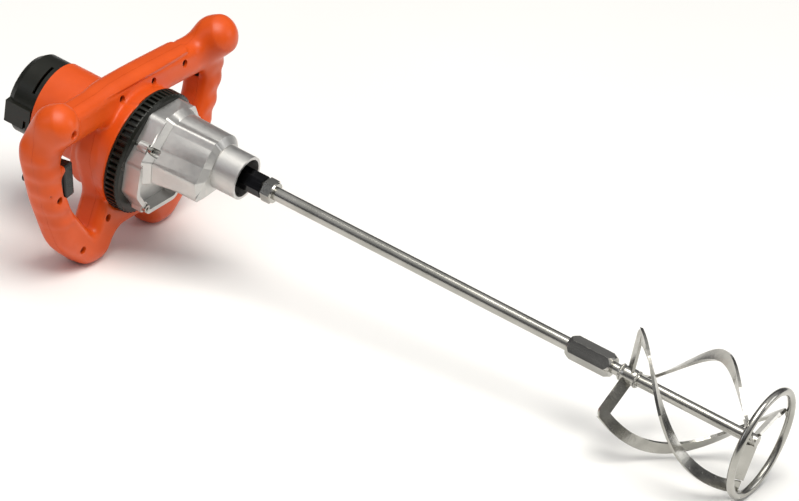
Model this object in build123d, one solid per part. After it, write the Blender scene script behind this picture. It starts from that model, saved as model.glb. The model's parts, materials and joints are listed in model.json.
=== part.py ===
"""Drill paint mixer: two-handled motor body, two-stage gearbox, long rod and a three-bladed whisk.

Frame: origin on the spindle axis at the front rim of the gearbox collar, +X towards the whisk,
+Z up through the crossbar, +Y from the trigger handle to the speed-dial handle. Millimetres.
"""
import os
from math import acos, atan2, cos, degrees, pi, radians, sin, sqrt, tan

from build123d import *

os.makedirs("parts", exist_ok=True)

# ---------------------------------------------------------------- driving dimensions
MOTOR_Z = -25.0          # the motor axis runs this far below the spindle axis
CAP_REAR_X = -266.0
CAP_FRONT_X = -233.0
SPIGOT_X = -237.5        # rear end of the barrel, inside the cap
RING_REAR_X = -124.0     # black vent ring between handle body and gearbox
RING_FRONT_X = -108.0
PLATE_FRONT_X = -103.0   # aluminium bearing plate behind the gearbox
FLANGE_FRONT_X = -89.0
BOX_FRONT_X = -34.0
COLLAR_ROOT_X = -28.0

HOUSING_R = 44.5         # orange motor barrel
HOUSING_WALL = 3.5
BELL_R = 60.0            # handle body round the barrel, flaring to the vent ring
RING_R = 66.5
RING_BORE_R = 53.0
COLLAR_R = 23.5          # clamping collar round the spindle nose
COLLAR_BORE_R = 20.5

FRAME_X = -153.0         # the handle plane crosses the spindle axis here
FRAME_TILT = 10.0        # degrees, foot of the frame towards the whisk
FRAME_HALF = 18.0        # half the frame's depth, front to back
FRAME_ROUND, OPENING_ROUND = 13.0, 9.5
SPLIT = 4.0              # parting plane, forward of the frame's middle
SHELL_WALL = 3.5
BULB_R = 25.0
BULB_Y, BULB_H, BULB_N = 141.0, 42.0, 14.0

ROD_R = 7.0
WHISK_ROD_R = 6.0
ROD_END_X = 410.0        # the mixer rod and the whisk rod meet here, inside the coupling
HUB_X = 455.0            # whisk blades are welded to the rod here
TIP_X = 604.0            # plane of the tip ring
RING_MEAN_R = 55.5
RING_WIRE_R = 4.0
BLADE_W, BLADE_T = 12.0, 3.0
BLADE_TURN = 163.0       # degrees that each blade winds from hub to tip ring
BLADE_BULGE = 9.0        # the blades stand this much further out half way along
BEND_R = 9.0             # outer corner where a blade's arm turns into its strip
HUB_PHASE = 211.0

STAGE1 = (1.0, 7, 39)    # module, pinion teeth, wheel teeth
STAGE2 = (1.25, 9, 37)
D1 = STAGE1[0] * (STAGE1[1] + STAGE1[2]) / 2
D2 = STAGE2[0] * (STAGE2[1] + STAGE2[2]) / 2
LAY_Z = (D1**2 - D2**2 - MOTOR_Z**2) / (-2 * MOTOR_Z)
LAY_Y = -sqrt(D2**2 - LAY_Z**2)
RUN_FIT = 0.03           # radial clearance of shafts in their bearings


# ---------------------------------------------------------------- helpers
def save(node, *shapes):
    """Write one node, as one solid or as a group of separate solids."""
    solids = [s for shape in shapes for s in shape.solids()]
    shape = solids[0] if len(solids) == 1 else Compound(children=[Solid(s.wrapped) for s in solids])
    export_step(shape, f"parts/{node}.step")


def rod(x0, x1, r, y=0.0, z=0.0):
    """Cylinder along X."""
    return Pos((x0 + x1) / 2, y, z) * Rot(0, 90, 0) * Cylinder(r, abs(x1 - x0))


def tube(x0, x1, r_out, r_in, y=0.0, z=0.0):
    return rod(x0, x1, r_out, y, z) - rod(min(x0, x1) - 1, max(x0, x1) + 1, r_in, y, z)


def cone(x0, x1, r0, r1, y=0.0, z=0.0):
    """Cone along X, radius r0 at x0 and r1 at x1 (x1 > x0)."""
    return Pos((x0 + x1) / 2, y, z) * Rot(0, 90, 0) * Cone(r0, r1, x1 - x0)


def block(x0, x1, y0, y1, z0, z1):
    return Pos((x0 + x1) / 2, (y0 + y1) / 2, (z0 + z1) / 2) * Box(x1 - x0, y1 - y0, z1 - z0)


def hexagon(x0, x1, across_flats):
    """Hexagonal bar along X with one flat upwards."""
    return extrude(section(x0) * RegularPolygon(across_flats / 2, 6, major_radius=False), x1 - x0)


def section(x):
    """Sketch plane across the spindle: its local x is row Y, its local y is row Z."""
    return Plane((x, 0, 0), x_dir=(0, 1, 0), z_dir=(1, 0, 0))


# ---------------------------------------------------------------- gears
def involute(angle):
    return tan(angle) - angle


def gear(x0, x1, module, teeth, shift, phase, y, z, bore=0.0):
    """Spur gear along X with a tooth centred at phase degrees; shift is its profile shift."""
    pressure, backlash = radians(20), 0.07 * module
    pitch_r = module * teeth / 2
    base_r = pitch_r * cos(pressure)
    tip_r = pitch_r + module * (0.85 + shift)
    root_r = pitch_r - module * (1.2 - shift)
    half = (module * (pi / 2 + 2 * shift * tan(pressure)) - backlash) / (2 * pitch_r)

    def half_angle(r):
        flank = acos(min(1.0, base_r / r))
        return half + involute(pressure) - involute(flank)

    flank_r = [root_r, max(base_r, root_r + 0.1), (pitch_r + tip_r) / 2, tip_r]
    points = []
    for tooth in range(teeth):
        centre = radians(phase + 360 * tooth / teeth)
        rising = [(r, centre - half_angle(r)) for r in flank_r]
        falling = [(r, centre + half_angle(r)) for r in reversed(flank_r)]
        points += [(r * cos(a), r * sin(a)) for r, a in rising + falling]
    blank = extrude(section(x0) * make_face(Polyline(points, close=True)), x1 - x0)
    solid = Pos(0, y, z) * blank
    return solid - rod(x0 - 1, x1 + 1, bore, y, z) if bore else solid


def bearing(x0, x1, r_out, r_in, y=0.0, z=0.0):
    """Shielded ball bearing: one ring with a shallow groove in each face for its shields."""
    ring = tube(x0, x1, r_out, r_in, y, z)
    inner, outer = r_in + (r_out - r_in) * 0.3, r_out - (r_out - r_in) * 0.25
    for a, b in ((x0 - 1, x0 + 0.6), (x1 - 0.6, x1 + 1)):
        ring -= tube(a, b, outer, inner, y, z)
    return ring


# ---------------------------------------------------------------- whisk
def screw_path(x, turn, r):
    """Point at radius r on the whisk, turned from the hub phase."""
    a = radians(HUB_PHASE + turn)
    return Vector(x, r * cos(a), r * sin(a))


def strip_directions(turn):
    """Radial, lengthways and thickness directions of a blade strip."""
    a = radians(HUB_PHASE + turn)
    radial = Vector(0, cos(a), sin(a))
    round_ = Vector(0, -sin(a), cos(a))
    climb = atan2(RING_MEAN_R * radians(BLADE_TURN), TIP_X - HUB_X)
    along = Vector(cos(climb), 0, 0) + round_ * sin(climb)
    return radial, along, radial.cross(along)


def quad(centre, side, thick, half_side, half_thick):
    corners = [(1, 1), (-1, 1), (-1, -1), (1, -1)]
    return Wire.make_polygon([centre + side * (a * half_side) + thick * (b * half_thick)
                              for a, b in corners])


def radial_bar(x, turn, r0, r1):
    """Flat bar from the rod outwards, its width along the blade's run."""
    radial, along, thick = strip_directions(turn)
    ends = [quad(screw_path(x, turn, r), along, thick, BLADE_W / 2, BLADE_T / 2) for r in (r0, r1)]
    return Solid.make_loft(ends, ruled=True)


def blade(first_turn):
    """One whisk blade: a radial arm at the hub, then a strip on edge winding to the tip ring."""
    r_mid = RING_MEAN_R - 1.5
    steps = 30
    wires = []
    for i in range(steps + 1):
        s = i / steps * 1.02 - 0.02
        turn = first_turn + BLADE_TURN * s
        radial, _, thick = strip_directions(turn)
        x = HUB_X + (TIP_X - RING_WIRE_R - 1.0 - HUB_X) * s
        r = r_mid - BLADE_W / 2 + 1 + BLADE_BULGE * sin(pi * max(s, 0))
        wires.append(quad(screw_path(x, turn, r), radial, thick, BLADE_W / 2, BLADE_T / 2))
    strip = Solid.make_loft(wires, ruled=True)
    arm = radial_bar(HUB_X, first_turn, WHISK_ROD_R + 0.3, r_mid + 1)
    _, along, thick = strip_directions(first_turn)
    outer_corner = Plane(screw_path(HUB_X, first_turn, r_mid + 1) - along * (BLADE_W / 2),
                         x_dir=along, z_dir=thick)
    waste = Pos(BEND_R / 2, BEND_R / 2) * Rectangle(BEND_R, BEND_R) - Pos(BEND_R, BEND_R) * Circle(BEND_R)
    return Part() + arm + strip - extrude(outer_corner * waste, BLADE_W, both=True)


def make_whisk():
    nut = hexagon(24, 36, 22) & cone(22, 60, 13.4, 6.0).fuse(rod(20, 34, 13.2))
    save("rod_nut", nut - rod(20, 40, ROD_R))
    shank = rod(-16, 24, ROD_R - 0.05) + rod(24, ROD_END_X, ROD_R)
    save("mixer_rod", shank)
    rear, front = ROD_END_X - 24, ROD_END_X + 26
    sleeve = hexagon(rear, front, 22) & (cone(rear, rear + 6, 10.2, 13.2) + rod(
        rear + 6, front - 6, 13.2) + cone(front - 6, front, 13.2, 10.2))
    save("coupling_sleeve", sleeve - rod(rear - 1, ROD_END_X, ROD_R) - rod(
        ROD_END_X - 1, front + 1, WHISK_ROD_R))
    save("whisk_rod", rod(ROD_END_X, TIP_X - 4, WHISK_ROD_R))
    weld = cone(HUB_X - 11, HUB_X - 5, WHISK_ROD_R + 1.2, WHISK_ROD_R + 2.6) + rod(
        HUB_X - 5, HUB_X + 5, WHISK_ROD_R + 2.6) + cone(
        HUB_X + 5, HUB_X + 11, WHISK_ROD_R + 2.6, WHISK_ROD_R + 1.2)
    weld -= rod(HUB_X - 20, HUB_X + 20, WHISK_ROD_R)
    save("hub_weld", weld)
    solid_weld = weld + rod(HUB_X - 11, HUB_X + 11, WHISK_ROD_R + 0.1)
    blades = [blade(120 * i) - solid_weld for i in range(3)]
    ring = Pos(TIP_X, 0, 0) * Rot(0, 90, 0) * Torus(RING_MEAN_R, RING_WIRE_R)
    spokes = [radial_bar(TIP_X - 9, BLADE_TURN + 120 * i, WHISK_ROD_R, RING_MEAN_R - 13)
              for i in range(3)]
    for i, one in enumerate(blades):
        save(f"whisk_blade_{i + 1}", one - ring)
    save("tip_ring", ring)
    save("ring_spokes", *[s - ring - rod(TIP_X - 30, TIP_X + 20, WHISK_ROD_R) - blades[i]
                          for i, s in enumerate(spokes)])


# ---------------------------------------------------------------- drive train
def make_drive():
    """Armature pinion to layshaft wheel, layshaft pinion to output wheel."""
    m1, z1, z2 = STAGE1
    m2, z3, z4 = STAGE2
    to_lay = degrees(atan2(LAY_Z - MOTOR_Z, LAY_Y))      # from the motor axis to the layshaft
    lay_to_spindle = degrees(atan2(-LAY_Z, -LAY_Y))
    first, second = (-99, -90), (-82, -68)               # where each gear pair sits along X

    # output spindle: hexagonal nose with a threaded socket, shouldered shaft behind
    nose = hexagon(-26, 22, 20.5) & cone(-60, 24, 40, 11.2)
    shaft = rod(-50, -26, 10) + rod(-66, -50, 8) + rod(-84, -66, 7) + rod(-106.5, -84, 5.5)
    spindle = nose + shaft - rod(-17, 30, ROD_R - 0.05)
    save("output_spindle", spindle)
    wheel = gear(second[0], second[1], m2, z4, -0.35, lay_to_spindle + 180 + 180 / z4, 0, 0, 7)
    save("output_gear", wheel)
    save("spindle_front_bearing", bearing(-46, -34, 17.5, 10 + RUN_FIT))
    save("spindle_seal", tube(-34, -29.3, 13.95, 10.15))
    save("spindle_rear_bearing", bearing(-106, -100, 9.5, 5.5 + RUN_FIT))

    # layshaft with its cut pinion, carrying the first-stage wheel
    lay = rod(-106.5, -84, 4, LAY_Y, LAY_Z) + gear(-84, -66, m2, z3, 0.35, lay_to_spindle,
                                                  LAY_Y, LAY_Z)
    lay += rod(-66, -58, 4, LAY_Y, LAY_Z)
    save("layshaft", lay)
    save("layshaft_gear", gear(first[0], first[1], m1, z2, -0.35, to_lay + 180 + 180 / z2,
                               LAY_Y, LAY_Z, 4))
    save("layshaft_rear_bush", tube(-106, -102, 7, 4 + RUN_FIT, LAY_Y, LAY_Z))
    save("layshaft_front_bush", tube(-65, -58, 7, 4 + RUN_FIT, LAY_Y, LAY_Z))

    # armature
    shaft = rod(-254, -118, 5, 0, MOTOR_Z) + rod(-118, -100.5, 4, 0, MOTOR_Z)
    shaft += gear(-100.5, -89.6, m1, z1, 0.35, to_lay, 0, MOTOR_Z)
    save("armature_shaft", shaft)
    save("armature_front_bearing", bearing(-117, -109, 11, 4 + RUN_FIT, 0, MOTOR_Z))
    save("armature_rear_bearing", bearing(-254, -247, 11, 5 + RUN_FIT, 0, MOTOR_Z))
    core = rod(-200, -150, 22, 0, MOTOR_Z)
    for i in range(12):
        a = radians(30 * i)
        core -= Pos(-175, 19 * cos(a), MOTOR_Z + 19 * sin(a)) * Rot(degrees(a), 0, 0) * Box(52, 8, 3)
    save("armature_core", core - rod(-201, -149, 5, 0, MOTOR_Z))
    save("armature_windings", *[tube(a, b, 20.5, 7, 0, MOTOR_Z) - cone(c, d, r0, r1, 0, MOTOR_Z)
                                for a, b, c, d, r0, r1 in ((-212, -200.2, -230, -205, 19, 0.1),
                                                           (-149.8, -139, -144, -120, 0.1, 19))])
    commutator = tube(-236, -218, 13, 5, 0, MOTOR_Z)
    for i in range(24):
        a = radians(15 * i)
        commutator -= Pos(-226, 13 * cos(a), MOTOR_Z + 13 * sin(a)) * Rot(degrees(a), 0, 0) * Box(
            16, 2, 0.5)
    save("commutator", commutator)
    fan = tube(-136, -121, 9, 5, 0, MOTOR_Z) + tube(-123, -121, 46, 9, 0, MOTOR_Z)
    for i in range(16):
        fan += Pos(0, 0, MOTOR_Z) * Rot(22.5 * i, 0, 0) * Pos(-128, 31, 0) * Rot(12, 0, 0) * Box(
            11, 23, 1.6)
    save("cooling_fan", fan)


# ---------------------------------------------------------------- motor, cap and vent ring
def wedge(angle, spread):
    """Wedge along the tool, spread degrees wide, whose middle stands at angle about X."""
    reach = 60
    half = reach * tan(radians(spread / 2))
    corners = [(34, -0.5 * half), (reach, -half), (reach, half), (34, 0.5 * half)]
    face = make_face(Polyline(corners, close=True))
    return Rot(angle, 0, 0) * extrude(section(-300) * face, 300)


def make_motor():
    """Field, brushes, barrel, rear cap and vent ring, all about the motor axis."""
    stator = rod(-202, -148, 40.9, 0, MOTOR_Z) - rod(-203, -147, 22.8, 0, MOTOR_Z)
    for side in (1, -1):
        stator -= Pos(-175, side * 27, MOTOR_Z) * Box(60, 12, 34)
    save("stator_core", stator)
    coils = []
    for side in (1, -1):
        loop = block(-210, -140, 22.9, 32.5, MOTOR_Z - 16.5, MOTOR_Z + 16.5)
        loop -= block(-203.5, -146.5, 15, 40, MOTOR_Z - 11, MOTOR_Z + 11)
        coils.append(loop if side > 0 else loop.mirror(Plane.XZ))
    save("field_windings", *coils)

    holders, brushes, springs = [], [], []
    for side in (1, -1):
        box = block(-234, -222, 14.2, 36, MOTOR_Z - 6, MOTOR_Z + 6)
        box -= block(-231.5, -224.5, 10, 40, MOTOR_Z - 3.6, MOTOR_Z + 3.6)
        brush = block(-231.2, -224.8, 13.05, 27, MOTOR_Z - 3.3, MOTOR_Z + 3.3)
        turns = [Pos(-228, 27.6 + 1.4 * i, MOTOR_Z) * Rot(90, 0, 0) * Torus(2.2, 0.55)
                 for i in range(6)]
        spring = turns[0]
        for one in turns[1:]:
            spring += one
        spring += Pos(-225.8, 31.1, MOTOR_Z) * Box(0.9, 7, 0.9)
        for made, keep in ((box, holders), (brush, brushes), (spring, springs)):
            keep.append(made if side > 0 else made.mirror(Plane.XZ))
    save("brush_holders", *holders)
    save("carbon_brushes", *brushes)
    save("brush_springs", *springs)

    barrel = tube(CAP_FRONT_X, -137, HOUSING_R, HOUSING_R - HOUSING_WALL, 0, MOTOR_Z)
    barrel += tube(SPIGOT_X, CAP_FRONT_X, HOUSING_R - 2.2, HOUSING_R - HOUSING_WALL, 0, MOTOR_Z)
    barrel += tube(SPIGOT_X, SPIGOT_X + 2, HOUSING_R - HOUSING_WALL + 0.5, 15, 0, MOTOR_Z)

    shell = cone(CAP_REAR_X, CAP_REAR_X + 7, 38.5, 43.2, 0, MOTOR_Z) + rod(
        CAP_REAR_X + 7, CAP_FRONT_X, 43.2, 0, MOTOR_Z)
    for side in (1, -1):                     # brush covers, one on each flank
        lug = Rot(-8, 0, 0) * block(CAP_REAR_X + 1, CAP_FRONT_X - 1, 20, 45, -13, 13)
        shell += Pos(0, 0, MOTOR_Z) * (lug if side > 0 else lug.mirror(Plane.XZ))
    shell -= cone(CAP_REAR_X + 3, CAP_REAR_X + 10, 36, 40, 0, MOTOR_Z) + rod(
        CAP_REAR_X + 10, CAP_FRONT_X + 1, 40.8, 0, MOTOR_Z)
    shell -= tube(SPIGOT_X - 0.3, CAP_FRONT_X + 1, HOUSING_R - 2.1, 40, 0, MOTOR_Z)
    for angle in (35, 125, 215, 305):        # long air slots round the cap, near its front edge
        slot = Pos(SPIGOT_X - 2.4, 0, 0) * Box(3.2, 100, 100) & wedge(angle, 52)
        shell -= Pos(0, 0, MOTOR_Z) * slot
    pocket = tube(CAP_REAR_X + 2, -246, 15, 11.05, 0, MOTOR_Z)
    ribs = [Pos(0, 0, MOTOR_Z) * Rot(45 + 90 * i, 0, 0) * block(CAP_REAR_X + 2, -249, 13, 40.5,
                                                               -1.2, 1.2) for i in range(4)]
    shell += pocket
    for rib in ribs:
        shell += rib
    screws = []
    for side in (1, -1):                     # cap screws, above and below the bearing pocket
        z = MOTOR_Z + side * 31
        shell += rod(CAP_REAR_X + 2, -239.2, 5, 0, z)
        shell -= rod(CAP_REAR_X - 1, CAP_REAR_X + 3, 4, 0, z) + rod(CAP_REAR_X, -230, 2.2, 0, z)
        barrel += rod(-239, -229, 5, 0, z)
        barrel -= rod(-240, -228.5, 1.8, 0, z)
        head = rod(CAP_REAR_X + 0.6, CAP_REAR_X + 3, 3.7, 0, z)
        head -= extrude(section(CAP_REAR_X) * Pos(0, z) * RegularPolygon(1.6, 6), 2)
        screws.append(head + rod(CAP_REAR_X + 3, -229.5, 1.8, 0, z))
    save("cap_screws", *screws)
    for side in (1, -1):                     # air inlet slots in the rear face
        for i in range(7):
            shell -= Pos(CAP_REAR_X, side * 21, MOTOR_Z + 4.5 * (i - 3)) * Box(8, 12, 2)
    save("rear_cap", shell)
    save("motor_housing", barrel)

    ring = tube(RING_REAR_X, RING_FRONT_X, RING_R, RING_BORE_R, 0, MOTOR_Z)
    for i in range(44):
        ring -= Pos(0, 0, MOTOR_Z) * Rot(360 / 44 * i, 0, 0) * block(
            RING_REAR_X + 3, RING_FRONT_X - 3, RING_R - 3.5, RING_R + 4, -1.5, 1.5)
    for i in range(22):
        ring -= Pos(0, 0, MOTOR_Z) * Rot(360 / 44 * 2 * i, 0, 0) * block(
            RING_REAR_X + 5, RING_FRONT_X - 5, RING_BORE_R - 5, RING_R - 2, -1.5, 1.5)
    inner = tube(RING_FRONT_X - 9.5, RING_FRONT_X, 14, 11.05, 0, MOTOR_Z)
    spokes = inner
    for i in range(4):
        spokes += Pos(0, 0, MOTOR_Z) * Rot(45 + 90 * i, 0, 0) * block(
            RING_FRONT_X - 6, RING_FRONT_X, 12.5, RING_BORE_R + 2, -3, 3)
    save("vent_ring", ring + spokes)


# ---------------------------------------------------------------- gearbox
def flange_outline(grow=0.0):
    """Many-sided flange outline about the motor axis, in the section plane."""
    half = [(-26, 33), (-57, -12), (-53.5, -47), (-24, -78)]
    points = [*half, *[(-y, z) for y, z in reversed(half)]]
    face = make_face(Polyline(points, close=True))
    face = fillet(face.vertices(), 9)
    return offset(face, grow) if grow else face


def case_outline(k, wall=0.0):
    """Gear case: round over the output wheel, cornered where it also covers the layshaft.

    k runs from 0 at the nose to 1 at the flange; wall draws the outline in.
    """
    top, side, low = (-17 - 3 * k, 31 + k), (-41 - 9 * k, -9 + 5 * k), (-31 - 13 * k, -34 + 3 * k)
    corner = make_face(Polyline([top, side, low, (8, -30), (4, 29)], close=True)) + Circle(32 + k)
    rounds = [v for v in corner.vertices() if v.X < -15]
    face = fillet(rounds, 4)
    return offset(face, -wall) if wall else face


def case_slice(x, k, size=1.0):
    return section(x) * scale(case_outline(k), size)


def flange_screw_places():
    """The four gearbox screws, on a circle about the motor axis."""
    for angle in (35, 145, 235, 305):
        yield 52.5 * cos(radians(angle)), MOTOR_Z + 52.5 * sin(radians(angle))


def make_gearbox():
    case = extrude(section(PLATE_FRONT_X) * flange_outline(), FLANGE_FRONT_X - PLATE_FRONT_X)
    case += loft([case_slice(FLANGE_FRONT_X - 2, 1, 1.12), case_slice(FLANGE_FRONT_X + 7, 1)],
                 ruled=True)
    case += loft([case_slice(FLANGE_FRONT_X, 1), case_slice(BOX_FRONT_X, 0)], ruled=True)
    case += loft([case_slice(BOX_FRONT_X, 0), case_slice(COLLAR_ROOT_X, 0, 0.78)], ruled=True)
    case += rod(COLLAR_ROOT_X - 4, 0, COLLAR_R)
    # inside: wheel space, gear space, bearing seat and the clamping collar's bore
    case -= extrude(section(PLATE_FRONT_X - 1) * flange_outline(-5), 15)
    case -= extrude(section(FLANGE_FRONT_X - 2) * case_outline(0, 4.5), -50 - FLANGE_FRONT_X + 2)
    case += rod(-66, -49, 11, LAY_Y, LAY_Z)
    case -= rod(-67, -57.5, 7.05, LAY_Y, LAY_Z)
    case -= rod(-51, -34, 17.55) + rod(-35, -29, 14) + rod(-30, -27, 11.5)
    case -= rod(COLLAR_ROOT_X, 1, COLLAR_BORE_R)
    for y, z in flange_screw_places():
        case += rod(PLATE_FRONT_X, FLANGE_FRONT_X - 3, 6, y, z)
        case -= rod(PLATE_FRONT_X - 1, FLANGE_FRONT_X, 2.6, y, z)
        case -= rod(FLANGE_FRONT_X - 3, FLANGE_FRONT_X + 9, 4.6, y, z)
    save("gearbox_housing", case)

    plate = extrude(section(RING_FRONT_X) * flange_outline(), PLATE_FRONT_X - RING_FRONT_X)
    plate -= rod(-120, -100, 4.6, 0, MOTOR_Z)
    plate -= rod(-107, -100, 9.55) + rod(-107, -100, 7.05, LAY_Y, LAY_Z)
    screws = []
    for y, z in flange_screw_places():
        plate -= rod(RING_FRONT_X - 1, PLATE_FRONT_X + 1, 2.6, y, z)
        head = rod(FLANGE_FRONT_X - 3, FLANGE_FRONT_X + 1.5, 4.2, y, z)
        head -= extrude(section(FLANGE_FRONT_X - 0.5) * Pos(y, z) * RegularPolygon(
            1.8, 6, major_radius=False), 4)
        screws.append(head + rod(RING_FRONT_X + 0.5, FLANGE_FRONT_X - 3, 2.4, y, z))
    save("bearing_plate", plate)
    save("gearbox_screws", *screws)


# ---------------------------------------------------------------- handle body
def frame_plane(n):
    """Sketch plane of the handle body, n forward of its middle: local x is Y, local y is up."""
    tilt = radians(FRAME_TILT)
    forward = Vector(cos(tilt), 0, sin(tilt))
    return Plane(Vector(FRAME_X, 0, 0) + forward * n, x_dir=(0, 1, 0), z_dir=forward)


def frame_point(y, h, n):
    return frame_plane(n).from_local_coords(Vector(y, h, 0))


def rounded(corners):
    """Closed face through (y, h, corner radius) points, its corners rounded by tangent arcs."""
    points = [(y, h) for y, h, _ in corners]
    return make_face(FilletPolyline(points, radius=[r for _, _, r in corners], close=True))


def outer_outline():
    """Outline of the whole frame, seen along the tool: crossbar, grips and the lower web."""
    right = [(26, -114, 25), (44, -139, 20), (74, -139, 28), (116, -106, 80), (147, -45, 150),
             (166, 10, 45), (162, 43, 26)]
    crown = [(0, 48, 1500)]
    return rounded(right + crown + [(-y, h, r) for y, h, r in reversed(right)])


def opening_outline(side):
    """D-shaped hand opening between a grip and the motor barrel."""
    right = [(52, 11, 6), (131, 9, 12), (126, -20, 60), (108, -60, 60), (68, -106, 6),
             (50, -70, 12), (66, -25, 30)]
    return rounded([(side * y, h, r) for y, h, r in right])


SCREW_PLACES = [(84, 32), (126, -56), (-141, 40), (-133, -41), *[
    (side * y, h) for side in (1, -1) for y, h in ((28, 32), (91, -112), (48, -92))]]
SCREW_HEAD_R, BOSS_R = 3.8, 5.0


def frame_body(inset):
    """Frame solid, drawn in by inset on every side; both hand openings stay open."""
    half = FRAME_HALF - inset
    front, back = frame_plane(half), frame_plane(-half)
    body = extrude(back * offset(outer_outline(), -inset), 2 * half)
    body = fillet(front_and_back_edges(body, half), FRAME_ROUND - inset)
    for side in (1, -1):
        hole = extrude(back * offset(opening_outline(side), inset), 2 * half)
        body -= hole
    if not inset:
        rims = [e for e in front_and_back_edges(body, half) if in_opening(e)]
        body = fillet(rims, OPENING_ROUND)
    return body


def front_and_back_edges(body, half):
    """Edges of the frame that lie in its front or back face."""
    middle = frame_plane(0)
    return [e for e in body.edges()
            if all(abs(abs(middle.to_local_coords(e @ t).Z) - half) < 0.01 for t in (0, 0.5, 1))]


def in_opening(edge):
    """True for an edge on the rim of a hand opening."""
    at = frame_plane(0).to_local_coords(edge @ 0.5)
    return 48 < abs(at.X) < 135 and -108 < at.Y < 19 and abs(at.X) < 100 + (at.Y + 66) * 0.45 + 8


def make_handles():
    """Front and rear clamshells of the handle body, parted across the grips, and their screws."""
    body = frame_body(0)
    for side in (1, -1):
        body += Pos(*frame_point(side * BULB_Y, BULB_H, BULB_N)) * Sphere(BULB_R)
    body += rod(-172, -150, BELL_R, 0, MOTOR_Z)
    body += cone(-150, RING_REAR_X, BELL_R, RING_R + 0.3, 0, MOTOR_Z)
    outside = body
    body -= frame_body(SHELL_WALL) - rod(-300, 0, BELL_R - SHELL_WALL, 0, MOTOR_Z)
    body -= rod(-190, -131, HOUSING_R + 0.1, 0, MOTOR_Z)
    body -= rod(-132, RING_REAR_X + 1, RING_BORE_R, 0, MOTOR_Z)
    body -= rod(RING_REAR_X, RING_FRONT_X + 20, RING_R + 0.4, 0, MOTOR_Z)
    split = frame_plane(SPLIT)
    front = body & extrude(split * Rectangle(600, 600), 120)
    rear = body & extrude(split * Rectangle(600, 600), -120)
    screws = []
    head_n = FRAME_HALF - 7
    for y, h in SCREW_PLACES:
        seat = Plane(frame_point(y, h, head_n), z_dir=split.z_dir)
        joint = Plane(frame_point(y, h, SPLIT), z_dir=split.z_dir)
        front += extrude(joint * Circle(BOSS_R), FRAME_HALF - 1.5 - SPLIT) & outside
        front -= extrude(seat * Circle(SCREW_HEAD_R + 0.4), 40)
        front -= extrude(joint * Circle(2.1), 30)
        rear += extrude(joint * Circle(BOSS_R), -(FRAME_HALF - 1.5) - SPLIT) & outside
        rear -= extrude(joint * Circle(1.9), -13)
        head = extrude(seat * Circle(SCREW_HEAD_R), 2.6)
        head -= extrude(seat.offset(1) * RegularPolygon(1.6, 6), 4)
        screws.append(head + extrude(seat * Circle(1.8), -(head_n - SPLIT) - 11))
    return front, rear, screws


# ---------------------------------------------------------------- controls
TRIGGER_AT = (-120.0, -27.0, 7.0)    # where the trigger's middle crosses the grip's inner face
TRIGGER_LEAN = 8.0                   # degrees, its face turns up towards the barrel
TRIGGER_LONG, TRIGGER_WIDE, TRIGGER_PROUD, TRIGGER_TRAVEL = 38.0, 16.0, 13.0, 6.0
STEM_FROM, STEM_TO = -6.0, 12.0      # the trigger's stem, along its length
STEM_BACK = -14.0
DIAL_AT = (134.0, 10.0)              # centre of the speed wheel, sunk in the other grip
DIAL_R, DIAL_T = 12.0, 7.0
LOCK_AT = (-141.0, -22.0)            # lock-on button, in the rear face of the trigger grip
LOCK_R, LOCK_LONG, LOCK_PROUD = 5.0, 8.0, 3.2
GLAND_H = -98.0
POCKET = 0.35                        # clearance round the parts held between the shells


def trigger_frame():
    """Local x runs out of the grip towards the barrel, local y up along the trigger."""
    y, h, n = TRIGGER_AT
    lean = radians(TRIGGER_LEAN)
    base = frame_plane(n)
    x_dir = base.x_dir * cos(lean) + base.y_dir * sin(lean)
    return Plane(frame_point(y, h, n), x_dir=x_dir, z_dir=base.z_dir)


def trigger_box(x0, x1, y0, y1, wide, edge=0.0):
    """Box in the trigger's own frame, centred front to back."""
    solid = Pos((x0 + x1) / 2, (y0 + y1) / 2, 0) * Box(x1 - x0, y1 - y0, wide)
    return trigger_frame() * (fillet(solid.edges(), edge) if edge else solid)


def make_trigger():
    """Trigger, its spring and its switch; returns the space that they need in the shells."""
    half = TRIGGER_LONG / 2
    paddle_back, sunk = -3.0, -3.0 - TRIGGER_TRAVEL
    paddle = trigger_box(paddle_back, TRIGGER_PROUD, -half, half, TRIGGER_WIDE, 2.5)
    stem = trigger_box(STEM_BACK, paddle_back + 1, STEM_FROM, STEM_TO, TRIGGER_WIDE - 4)
    middle = (STEM_FROM + STEM_TO) / 2
    bore = trigger_frame() * Pos(-5, middle, 0) * Rot(0, 90, 0) * Cylinder(3.4, 20)
    save("trigger", paddle + stem - bore)

    switch_front = STEM_BACK - TRIGGER_TRAVEL - 0.5
    switch = (switch_front - 7, switch_front, -4.0, 18.0)
    save("trigger_switch", trigger_box(*switch, 14))
    turns, pitch = 11, 1.62
    coil = [trigger_frame() * Pos(switch_front + 0.6 + pitch * i, middle, 0) * Rot(0, 90, 0)
            * Torus(2.3, 0.5) for i in range(turns)]
    spine = Pos(switch_front + 0.6 + pitch * (turns - 1) / 2, middle + 2.3, 0)
    spring = trigger_frame() * spine * Box(pitch * (turns - 1), 0.7, 0.7)
    for turn in coil:
        spring += turn
    save("trigger_spring", spring)

    room = trigger_box(sunk - 1, 10, -half - 0.4, half + 0.4, TRIGGER_WIDE + 0.8)
    room += trigger_box(switch_front, sunk, STEM_FROM - 0.4, STEM_TO + 0.4, TRIGGER_WIDE - 3)
    back, front, low, high = switch
    room += trigger_box(back - POCKET, front + POCKET, low - POCKET, high + POCKET, 14 + 2 * POCKET)
    scoop = trigger_frame() * Pos(9, 0, TRIGGER_WIDE / 2 + 10) * Cylinder(20, 20)
    return room + scoop


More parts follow.
